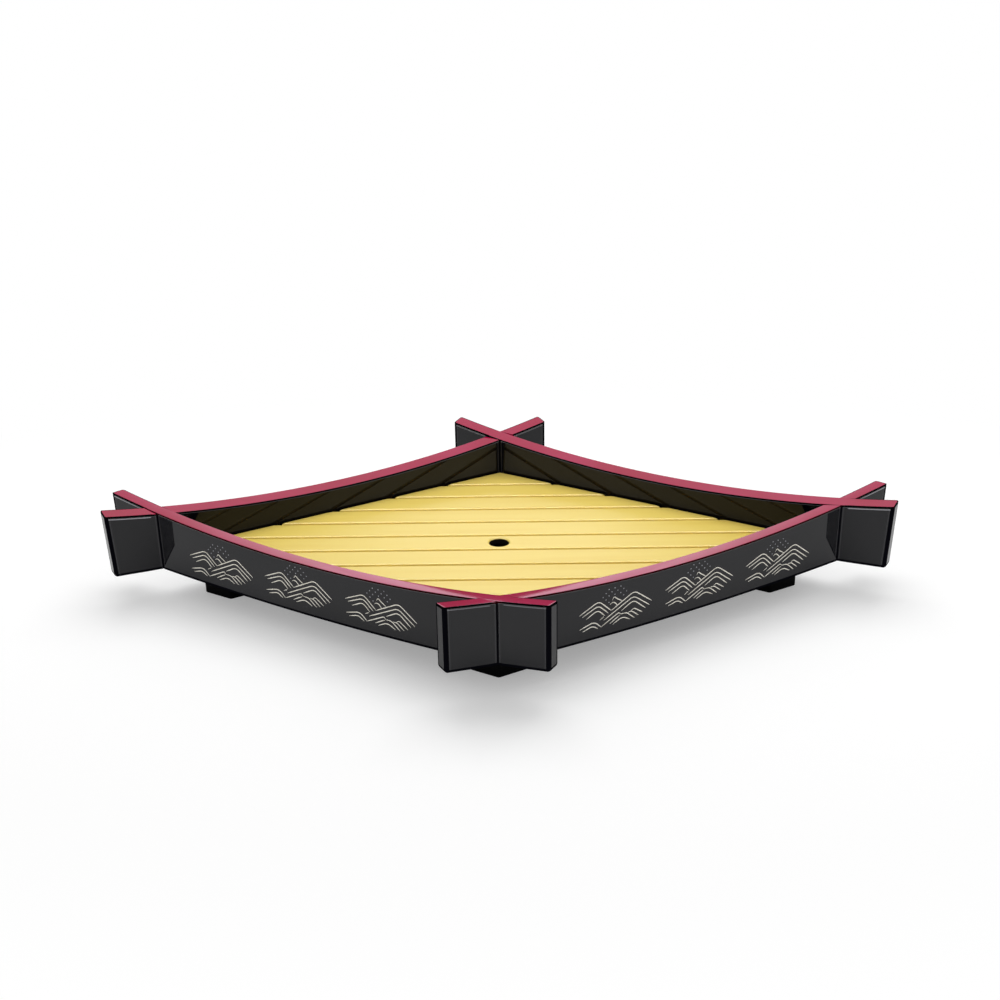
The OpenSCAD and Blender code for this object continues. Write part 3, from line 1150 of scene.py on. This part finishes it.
    def cap_skin(self, rows: np.ndarray) -> np.ndarray:
        """Rings of one length of the red strip, a low bar with a rounded and crowned top.

        Args:
            rows: the stations of this length.

        Returns:
            Array of rings by points by x, y, z along the beam.
        """
        plan, pair = self.plan, self.side.pair
        closing, half = self.closing(rows)
        r = self.cap_edge_r
        bend = quarter(self.arc_steps)[None, :]
        edge = half - r + r * np.cos(bend)
        across = np.linspace(self.top_share, -self.top_share, self.top_steps + 1)[None, :]
        across = across * (half - r)
        y = np.concatenate([half, edge, across, -edge[:, ::-1], -half], 1)
        x = rows[:, 0:1] + rows[:, 1:2] * y
        share = np.clip(0.5 - y / plan.beam_t, 0, 1)
        high = plan.top_z(x, y, pair) + self.crown * plan.top_drop * share * (1 - share)
        count = self.arc_steps + 1
        fall = np.zeros_like(y)
        fall[:, 1:1 + count] = r - r * np.sin(bend)
        fall[:, -1 - count:-1] = (r - r * np.sin(bend))[:, ::-1]
        z = high - fall - r * closing
        ends = [0, -1]
        z[:, ends] = plan.top_z(x[:, ends], y[:, ends], pair, plan.cap_t)
        return self.leaned(x, y, z)

    def build(self, finishes: Finishes) -> None:
        """Makes the body and the strip and hangs them on the tray.

        Args:
            finishes: the tray's finishes.
        """
        plan, side, label = self.plan, self.side, self.side.label
        body, strip = Shells(), Shells()
        body.add(plan.placed(self.body_rings(), side))
        piece = finish_piece(body.mesh(f"{label}_beam_lacquered"), "tray", finishes.black,
                             (f"{label}_beam",))
        mark_places(piece, plan, side)
        for rings in self.cap_rings():
            strip.add(plan.placed(rings, side))
        piece = finish_piece(strip.mesh(f"{label}_red_edge"), "tray", finishes.red,
                             (f"{label}_cap",))
        mark_places(piece, plan, side)


@dataclass
class WaveOrnament:
    """Three wave crests with spray on a beam's outer face, in raised pale gold lines.

    A stroke is a line through a few points, in millimetres from the motif's middle, with rounded
    bends and tapered ends. The spray is dots in staggered rows over the crests, inside an ellipse.
    """

    plan: TrayPlan
    side: Side
    middle_z: float = 50 * MM
    pitch: float = 93.6 * MM
    shift: float = 18 * MM
    line_w: float = 0.9 * MM
    relief: float = 0.07 * MM
    dot_d: float = 1.25 * MM
    left_crests: tuple[Stroke, ...] = (
        ((-39, 4.3), (-18.4, 13.4), (-5, 0.6)),
        ((-36, 2), (-18.8, 9.2), (-8.2, -1)),
        ((-31.6, -1), (-19.4, 5), (-11.8, -2.8)),
    )
    right_crests: tuple[Stroke, ...] = (
        ((-5, 0.6), (20, 13.4), (39.2, -1.4)),
        ((-13, -7.2), (19.2, 8.6), (36.8, -5)),
        ((6, -2.6), (19.2, 4.4), (32.4, -7)),
        ((-17.2, -5.8), (-15, -4.6), (-13, -3.6)),
    )
    low_swell: tuple[Stroke, ...] = (
        ((-38.6, -9.8), (-23, -5.8), (-15.8, -13)),
        ((-15.8, -13), (3.4, -3.6), (5.6, -6.2)),
        ((-35.4, -12.6), (-25, -9.6), (-19, -13.8)),
        ((5.6, -6), (11.6, -6), (20.6, -13.8)),
        ((13, -6.4), (17.2, -6), (24.8, -12.2)),
        ((16.6, -6), (19.6, -3.6), (29, -10.2)),
        ((-6.4, -12.4), (-1, -9.4), (4.6, -6.6)),
        ((-3.2, -14), (7, -9), (15.6, -13.8)),
    )
    foam: tuple[Stroke, ...] = (
        ((-3.8, 10.8), (-2.6, 13.2), (-1.2, 13.2), (1, 10.8), (3.4, 9.4), (6.8, 7)),
        ((-6.2, 7), (-4.4, 8.4), (-1.6, 8), (0.4, 5.6), (2.2, 3.8)),
    )
    bend_r: float = 4.6 * MM
    bend_share: float = 0.45
    bend_steps: int = 8
    point_step: float = 1.1 * MM
    fewest_points: int = 9
    taper_in: float = 8 * MM
    taper_out: float = 5 * MM
    tip_w: float = 0.35
    foot_w: float = 0.9
    arch_steps: int = 6
    dot_sides: int = 8
    dot_steps: int = 3
    dot_tip: float = 0.12
    sunk: float = 0.5
    spray_rows: int = 6
    spray_columns: int = 4
    spray_row: float = 3.2 * MM
    spray_gap: float = 6.3 * MM
    spray_middle: Flat = (-1.4, 9.5)
    spray_reach: Flat = (16.8, 14.6)
    spray_clear: float = 2.2 * MM

    def path(self, points: Stroke) -> np.ndarray:
        """Smooth line through a stroke's points: straight runs joined by quadratic bends.

        Args:
            points: corners in millimetres from the motif's middle.

        Returns:
            Array of points in metres, u to the right and v up.
        """
        corners = np.array(points, float) * MM
        pieces = [corners[:1]]
        share = np.linspace(0, 1, self.bend_steps + 1)[:, None]
        for before, corner, after in zip(corners[:-2], corners[1:-1], corners[2:]):
            ways = [before - corner, after - corner]
            sizes = [np.linalg.norm(way) for way in ways]
            reach = min(self.bend_r, *(self.bend_share * size for size in sizes))
            start, stop = (corner + way / size * reach for way, size in zip(ways, sizes))
            pieces.append((1 - share) ** 2 * start + 2 * share * (1 - share) * corner
                          + share ** 2 * stop)
        bends = np.concatenate([*pieces, corners[-1:]])
        run = run_length(bends)
        count = max(self.fewest_points, int(run[-1] / self.point_step))
        even = np.linspace(0, run[-1], count)
        return np.stack([np.interp(even, run, bends[:, k]) for k in range(2)], -1)

    def ribbon(self, line: np.ndarray) -> np.ndarray:
        """Low rounded ribbon along a line: half an ellipse across, narrow at both ends.

        Args:
            line: points of the middle line.

        Returns:
            Rings of points u, v, height over the face.
        """
        step = np.gradient(line, axis=0)
        step /= np.linalg.norm(step, axis=1, keepdims=True)
        normal = np.stack([-step[:, 1], step[:, 0]], -1)
        run = run_length(line)
        taper = np.minimum(run / self.taper_in, (run[-1] - run) / self.taper_out)
        half = self.line_w / 2 * np.minimum(1, self.tip_w + taper)[:, None]
        turn = np.linspace(0, math.pi, self.arch_steps + 1)[None, :]
        foot = half * self.foot_w
        across = np.concatenate([half * np.cos(turn), -foot, foot], 1)
        sunk = 0 * half - self.relief * self.sunk
        height = np.concatenate([self.relief * np.sin(turn) + 0 * half, sunk, sunk], 1)
        flat = line[:, None, :] + across[..., None] * normal[:, None, :]
        return np.concatenate([flat, height[..., None]], -1)

    def dot(self, u: float, v: float) -> np.ndarray:
        """Low round dot, as rings that close in: radius and height follow a quarter ellipse.

        Args:
            u: the dot's place to the right, in metres.
            v: its place upwards.

        Returns:
            Rings of points u, v, height over the face.
        """
        turn = circle(self.dot_sides)
        rise = quarter(self.dot_steps)[:, None]
        radius = np.concatenate([[[1.0]], np.maximum(np.cos(rise), self.dot_tip)]) * self.dot_d / 2
        height = np.concatenate([[[-self.sunk]], np.sin(rise)]) * self.relief
        return np.stack([u + radius * np.cos(turn), v + radius * np.sin(turn),
                         height + 0 * turn], -1)

    def spray(self, lines: list[np.ndarray]) -> np.ndarray:
        """Places of the spray's dots.

        They stand in staggered rows in the upper half of an ellipse, clear of the lines.

        Args:
            lines: the strokes' middle lines.

        Returns:
            Array of places u, v in metres.
        """
        reach = self.spray_columns
        row, column = np.meshgrid(np.arange(self.spray_rows), np.arange(-reach, reach + 1))
        across = (column + 0.5 * (row % 2)) * self.spray_gap
        offsets = np.stack([across, row * self.spray_row], -1)
        shares = offsets / (np.array(self.spray_reach) * MM)
        inside = np.square(shares).sum(-1) <= 1
        places = np.array(self.spray_middle) * MM + offsets[inside]
        drawn = np.concatenate(lines)
        gaps = np.linalg.norm(places[:, None, :] - drawn[None, :, :], axis=-1)
        return places[gaps.min(axis=1) > self.spray_clear]

    def motifs(self, parts: list[np.ndarray], name: str, material: bpy.types.Material) -> None:
        """Repeats flat parts at the three motifs' places and lays them on the outer face.

        Args:
            parts: rings of points u, v, height over the face.
            name: the piece's name.
            material: its finish.
        """
        shells = Shells()
        middle = -self.side.pair.value * self.shift
        for k in (-1, 0, 1):
            for part in parts:
                u = part[..., 0] + middle + k * self.pitch
                out = self.plan.beam_t / 2 + part[..., 2]
                points = np.stack([-u, out, self.middle_z + part[..., 1]], -1)
                shells.add(self.plan.placed(points, self.side))
        finish_piece(shells.mesh(name), "tray", material)

    def build(self, finishes: Finishes) -> None:
        """Makes the three motifs of this side: one piece of lines and one of dots.

        Args:
            finishes: the tray's finishes.
        """
        strokes = self.left_crests + self.right_crests + self.low_swell + self.foam
        lines = [self.path(points) for points in strokes]
        label = self.side.label
        self.motifs([self.ribbon(line) for line in lines], f"{label}_wave_ornament", finishes.gold)
        self.motifs([self.dot(u, v) for u, v in self.spray(lines)], f"{label}_wave_spray",
                    finishes.spray)


@dataclass
class Outline:
    """A convex outline with rounded corners, given by its sides.

    Args:
        angles: outward direction of each side.
        offsets: distance of each side from the middle.
        radii: radius of the corner after each side.
        arc_steps: steps of a corner's arc.
    """

    angles: tuple[float, ...]
    offsets: tuple[float, ...]
    radii: tuple[float, ...]
    arc_steps: int = 6

    def rings(self, heights: np.ndarray, insets: np.ndarray,
              middle: Flat = (0.0, 0.0)) -> np.ndarray:
        """Rings of the outline at several heights, its sides moved in by their insets.

        Two neighbouring sides meet at a corner; the arc's middle lies back from it along both
        sides' sum.

        Args:
            heights: height of each ring.
            insets: how far the sides move in, one row for each height.
            middle: place of the outline's middle.

        Returns:
            Array of rings by points by x, y, z, counter-clockwise.
        """
        angle, radius = np.array(self.angles), np.array(self.radii)
        offset = np.array(self.offsets) - insets
        following = np.roll(angle, -1)
        back, ahead = offset - radius, np.roll(offset, -1, axis=-1) - radius
        det = np.sin(following - angle)
        mx = (back * np.sin(following) - ahead * np.sin(angle)) / det
        my = (ahead * np.cos(angle) - back * np.cos(following)) / det
        sweep = np.mod(following - angle, 2 * math.pi)
        turn = angle[:, None] + sweep[:, None] * np.linspace(0, 1, self.arc_steps + 1)
        arcs = radius[:, None, None] * np.stack([np.cos(turn), np.sin(turn)], -1)
        flat = np.stack([mx, my], -1)[:, :, None, :] + arcs
        flat = flat.reshape(len(heights), -1, 2) + np.array(middle)
        z = np.broadcast_to(heights[:, None, None], (*flat.shape[:2], 1))
        return np.concatenate([flat, z], -1)


@dataclass
class Board:
    """The slatted board: slats with rounded edges and cut ends, the middle one with a hole."""

    plan: TrayPlan
    clearance: float = 3 * MM
    hole_rim: float = 5 * MM
    long_edge_r: float = 2.0 * MM
    cut_edge_r: float = 1.8 * MM
    under_edge_r: float = 0.5 * MM
    sharp_corner_r: float = 0.8 * MM
    blunt_corner_r: float = 6 * MM
    tip_r: float = 4 * MM
    hole_rim_r: float = 2.2 * MM
    hole_flare: float = 0.3 * MM
    hole_sides: int = 64
    edge_steps: int = 7
    under_steps: tuple[float, ...] = (0.0, 0.3, 1.0)
    rim_steps: int = 6
    count: int = 11

    @property
    def middle(self) -> int:
        """Number of the middle slat."""
        return (self.count + 1) // 2

    def sides(self, number: int) -> Outline:
        """Outline of a slat: its long sides and those of the board's four sides that cut it.

        Args:
            number: the slat's number, from the front.

        Returns:
            The outline, with a radius for the corner after each side.
        """
        low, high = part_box(f"slat_{number}")
        angle = self.plan.angle
        half_y = self.plan.half_diagonals[1] - self.plan.beam_t / 2 / math.cos(angle)
        reach = half_y * math.cos(angle) - self.clearance
        right, left = math.pi / 2 - angle, math.pi / 2 + angle
        rows = [("front", -math.pi / 2, -low.y), ("front_right", -right, reach),
                ("rear_right", right, reach), ("rear", math.pi / 2, high.y),
                ("rear_left", left, reach), ("front_left", 2 * math.pi - left, reach)]
        leave = set()
        if number < self.middle:
            leave |= {"rear_right", "rear_left"}
        if number > self.middle:
            leave |= {"front_right", "front_left"}
        if number == 1:
            leave.add("front")
        if number == self.count:
            leave.add("rear")
        names, angles, offsets = zip(*(row for row in rows if row[0] not in leave))
        radii = []
        for name, after in zip(names, names[1:] + names[:1]):
            long_side = {name, after} & {"front", "rear"}
            if not long_side:
                radii.append(self.tip_r)
            elif {name.split("_")[0], after.split("_")[0]} == long_side:
                radii.append(self.blunt_corner_r)
            else:
                radii.append(self.sharp_corner_r)
        return Outline(angles, offsets, tuple(radii))

    def slat(self, number: int, material: bpy.types.Material) -> None:
        """Makes one slat: its outline closes in towards the top as each side's edge is rounded.

        Args:
            number: the slat's number, from the front.
            material: its finish, unless it has the hole.
        """
        node = f"slat_{number}"
        low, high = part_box(node)
        outline = self.sides(number)
        radius = np.array([self.long_edge_r if abs(math.cos(angle)) < SAME else self.cut_edge_r
                           for angle in outline.angles])
        bends = np.sin(quarter(self.edge_steps)) * self.long_edge_r
        under = np.array(self.under_steps) * self.under_edge_r
        z = np.concatenate([low.z + under, high.z - self.long_edge_r + bends])
        insets = rounding(radius, high.z - z[:, None])
        insets = insets + rounding(self.under_edge_r, z[:, None] - low.z)
        rings = outline.rings(z, insets)
        if number == self.middle:
            self.holed_slat(rings, node)
        else:
            shells = Shells()
            shells.add(rings)
            finish_piece(shells.mesh(f"{node}_rounded"), "board", material,
                         (node,))

    def holed_slat(self, rings: np.ndarray, node: str) -> None:
        """Makes the middle slat, whose finger hole has a rounded rim.

        Args:
            rings: the slat's outline at each height.
            node: the CAD node that it replaces.
        """
        low, high = rings[0, 0, 2], rings[-1, 0, 2]
        width = rings[:, :, 1].max() - rings[:, :, 1].min()
        hole_r = width / 2 - self.hole_rim
        r, flare = self.hole_rim_r, self.hole_flare
        turn = circle(self.hole_sides)
        bend = quarter(self.rim_steps)[:, None]
        radius = np.concatenate([[[hole_r + flare]], [[hole_r]], hole_r + r - r * np.cos(bend)])
        height = np.concatenate([[[low]], [[low + flare]], high - r + r * np.sin(bend)])
        hole = np.stack([radius * np.cos(turn), radius * np.sin(turn), height + 0 * turn], -1)
        faces = skin_faces(*rings.shape[:2])
        faces += [face[::-1] for face in skin_faces(*hole.shape[:2], rings[..., 0].size)]
        mesh = bpy.data.meshes.new(f"{node}_rounded")
        mesh.from_pydata(np.concatenate([rings.reshape(-1, 3), hole.reshape(-1, 3)]), [], faces)
        work = bmesh.new()
        work.from_mesh(mesh)
        for z in (low, high):
            rim = [edge for edge in work.edges if edge.is_boundary
                   and all(abs(vert.co.z - z) < SAME for vert in edge.verts)]
            bmesh.ops.triangle_fill(work, edges=rim, use_beauty=True, use_dissolve=False)
        work.to_mesh(mesh)
        work.free()
        finish = SlatFinish("slat_yellow_holed", hole_r=hole_r, hole_top=float(high))
        finish_piece(mesh, "board", finish.build(), (node,))

    def build(self, finishes: Finishes) -> None:
        """Makes all slats."""
        for number in range(1, self.count + 1):
            self.slat(number, finishes.slat)


@dataclass
class Feet:
    """Four rhombus feet with rounded upright and lower edges."""

    plan: TrayPlan
    corner_r: float = 3 * MM
    low_edge_r: float = 0.9 * MM
    edge_steps: int = 6

    def build(self, finishes: Finishes) -> None:
        """Makes each foot from its CAD box: its outline opens out from the table up.

        The sides' distance from the middle follows from the half length over the rounded tips.

        Args:
            finishes: the tray's finishes.
        """
        angle, r = self.plan.angle, self.low_edge_r
        right = math.pi / 2 - angle
        for label in ("left", "right", "front", "rear"):
            low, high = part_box(f"{label}_foot")
            middle = (low + high) / 2
            reach = (high.x - middle.x - self.corner_r) * math.sin(angle) + self.corner_r
            outline = Outline((-right, right, math.pi - right, math.pi + right), (reach,) * 4,
                              (self.corner_r,) * 4)
            bends = r * (1 - np.cos(quarter(self.edge_steps)))
            z = np.concatenate([low.z + bends, [high.z]])
            insets = rounding(r, z[:, None] - low.z) + np.zeros(4)
            shells = Shells()
            shells.add(outline.rings(z, insets, (middle.x, middle.y)))
            finish_piece(shells.mesh(f"{label}_foot_rounded"), "tray", finishes.satin,
                         (f"{label}_foot",))


@dataclass
class Fittings:
    """The CAD nodes that keep their shape and get their finishes."""

    finishes: Finishes

    def dress(self) -> None:
        """Gives each node its finish, by the record's material slots."""
        for row in frame["record"]["subparts"]:
            node = frame["nodes"][row["node"]]
            node.data.materials.clear()
            node.data.materials.append(self.finishes.by_slot[row["material_slot"]])
            LOG.info("%s is finished as %s", row["node"], row["material_slot"])


@dataclass(frozen=True)
class Lamp:
    """A soft area lamp.

    Args:
        name: the lamp's name.
        place: where it hangs, in metres.
        size: its width and height in metres.
        power: its power in watts.
        aim: the point that it faces.
        only_gloss: whether it shows in reflections alone.
    """

    name: str
    place: Triple
    size: Flat
    power: float
    aim: Triple = (0.0, 0.0, 0.0)
    only_gloss: bool = True

    def hang(self) -> bpy.types.Object:
        """Hangs the lamp.

        Returns:
            The lamp's object.
        """
        data = bpy.data.lights.new(self.name, "AREA")
        data.shape = "RECTANGLE"
        data.size, data.size_y = self.size
        data.energy = self.power
        lamp = new_object(self.name, data)
        facing = (Vector(self.aim) - Vector(self.place)).to_track_quat("-Z", "Y")
        lamp.matrix_world = Matrix.Translation(self.place) @ facing.to_matrix().to_4x4()
        lamp.visible_diffuse = not self.only_gloss
        return lamp


@dataclass(frozen=True)
class BackCard:
    """Pale card behind the tray that only gloss shows: brightest low down, fading upwards."""

    half_w: float = 0.56
    low: float = 0.286
    high: float = 0.686
    back: float = 1.2
    side: float = -0.02
    level: float = 1.7
    fade: float = 1.5
    tint: Colour = (0.94, 0.88, 1.0)

    def hang(self) -> None:
        """Hangs the card: its light is the tint times a power of the share of height left."""
        width, height, middle = 2 * self.half_w, self.high - self.low, (self.low + self.high) / 2
        power = self.level * math.pi * width * height
        lamp = Lamp("back_card", (self.side, self.back, middle), (width, height), power,
                    (self.side, 0.0, middle)).hang()
        lamp.data.use_nodes = True
        bench = Bench(lamp.data.node_tree)
        z = bench.split(bench.node("ShaderNodeNewGeometry", output="Position"))[2]
        strength = ((self.high - z) * (1 / height)).above(0.0) ** self.fade
        light = bench.node("ShaderNodeEmission", None,
                           {"Color": (*self.tint, 1.0), "Strength": strength})
        bench.node("ShaderNodeOutputLight", None, {"Surface": light})


@dataclass(frozen=True)
class Floor:
    """Matt white floor, which looks plain white where no shadow falls and far from the tray."""

    reach: float = 8.0
    squeeze: Triple = (0.6, 1.0, 1.0)
    matt: float = 0.9
    shown: float = 0.74
    lift: float = 0.3
    shadow_fade: Edges = (0.34, 0.6)
    gloss_fade: Edges = (0.5, 0.9)

    def lay(self) -> None:
        """Lays the floor: its finish changes with the distance from the middle, squeezed."""
        r = self.reach
        mesh = bpy.data.meshes.new("floor")
        mesh.from_pydata([(-r, -r, 0), (r, -r, 0), (r, r, 0), (-r, r, 0)], [], [(0, 1, 2, 3)])
        material, bench = new_material("floor_white")
        place = bench.node("ShaderNodeVectorMath", {"operation": "MULTIPLY"},
                           {0: bench.place(), 1: self.squeeze})
        out = bench.node("ShaderNodeVectorMath", {"operation": "LENGTH"}, {0: place}, "Value")
        matt, shown = (bench.node("ShaderNodeBsdfDiffuse", None, {"Color": (v, v, v, 1.0)})
                       for v in (self.matt, self.shown))
        lift, plain = (bench.node("ShaderNodeEmission", None, {"Color": WHITE, "Strength": v})
                       for v in (self.lift, 1.0))
        near = bench.node("ShaderNodeAddShader", None, {0: shown, 1: lift})
        near = bench.choose(out.ramp(*self.shadow_fade), near, plain)
        others = bench.choose(out.ramp(*self.gloss_fade) * bench.seen(), matt, plain)
        shader = bench.choose(bench.ray("Camera"), others, near)
        bench.node("ShaderNodeOutputMaterial", None, {"Surface": shader})
        mesh.materials.append(material)
        floor = new_object("floor", mesh)


@dataclass(frozen=True)
class Surroundings:
    """Even light all round: white for the camera, greyer in gloss and dark at the horizon."""

    strength: float = 0.62
    gloss_low: float = 0.1
    gloss_steps: tuple[tuple[float, Edges], ...] = ((0.42, (0.222, 0.234)), (0.35, (0.4, 0.55)))

    def light(self) -> None:
        """Lights the world: in gloss, each step adds its level between two rises of the ray."""
        world = bpy.data.worlds.new("world")
        world.use_nodes = True
        bench = Bench(world.node_tree)
        rise = bench.split(bench.node("ShaderNodeTexCoord", output="Generated"))[2]
        shown = self.gloss_low
        for level, edges in self.gloss_steps:
            shown = shown + level * rise.ramp(*edges)
        level = self.strength + (1 - self.strength) * bench.seen()
        level = level - bench.ray("Glossy") * (1.0 - shown)
        light = bench.node("ShaderNodeBackground", None, {"Color": WHITE, "Strength": level})
        bench.node("ShaderNodeOutputWorld", None, {"Surface": light})
        bpy.context.scene.world = world


@dataclass(frozen=True)
class Viewpoint:
    """The camera, fitted to the photograph's frame of 1000 by 1000 pixels."""

    focal_px: float = 1349.9
    image_px: float = 1000.0
    sensor_mm: float = 36.0
    distance: float = 1.3187
    tilt: float = 0.409
    turn: float = -0.012
    roll: float = -0.017
    aim_x: float = 1.645 * MM
    aim_z: float = 96.4 * MM
    nearest: float = 0.01

    def set_up(self) -> None:
        """Places the camera on a circle round the tray, tilted down to it and slightly rolled."""
        c, s = math.cos(self.turn), math.sin(self.turn)
        ce, se = math.cos(self.tilt), math.sin(self.tilt)
        back = Vector((self.aim_x, -self.distance * ce, self.distance * se))
        eye = Matrix.Rotation(-self.turn, 3, "Z") @ back
        eye.z += self.aim_z
        ahead = Vector((s * ce, c * ce, -se))
        right = Vector((c, -s, 0))
        up = Vector((s * se, c * se, ce))
        across = math.cos(self.roll) * right + math.sin(self.roll) * up
        upright = math.cos(self.roll) * up - math.sin(self.roll) * right
        data = bpy.data.cameras.new("camera")
        data.sensor_width = self.sensor_mm
        data.lens = self.focal_px / self.image_px * self.sensor_mm
        data.clip_start = self.nearest
        camera = new_object("camera", data)
        columns = [Vector((*way, 0)) for way in (across, upright, -ahead)] + [Vector((*eye, 1))]
        camera.matrix_world = Matrix(columns).transposed()
        bpy.context.scene.camera = camera


@dataclass
class Studio:
    """Pale floor, soft lamps and the camera."""

    lamps: tuple[Lamp, ...] = (
        Lamp("overhead", (0.1, 0.7, 1.7), (1.8, 1.2), 18.0, only_gloss=False),
        Lamp("left_gloss", (-1.05, -0.38, 1.0), (0.9, 0.9), 15.0),
        Lamp("right_gloss", (1.05, -0.38, 1.0), (0.9, 0.9), 15.0),
        Lamp("front_gloss", (0.0, -0.25, 1.1), (1.0, 0.6), 19.0),
        Lamp("board_gloss", (0.0, 1.2, 0.7), (0.5, 0.18), 0.9, (0.0, 0.0, 0.7)),
    )

    def build(self) -> None:
        """Sets up the camera, the floor, the surroundings and the lamps."""
        Viewpoint().set_up()
        Floor().lay()
        Surroundings().light()
        for lamp in self.lamps:
            lamp.hang()
        BackCard().hang()
        bpy.context.scene.view_settings.view_transform = "Standard"
        LOG.info("studio ready")


def main() -> None:
    """Builds the tray piece by piece."""
    logging.basicConfig(level=logging.INFO, format="%(name)s: %(message)s")
    low, high = CAD_BOX
    plan = TrayPlan(high.x - low.x, high.y - low.y)
    finishes = Finishes(plan)
    Studio().build()
    Fittings(finishes).dress()
    for side in Side:
        Beam(plan, side).build(finishes)
        WaveOrnament(plan, side).build(finishes)
    Board(plan).build(finishes)
    Feet(plan).build(finishes)


if __name__ == "__main__":
    main()
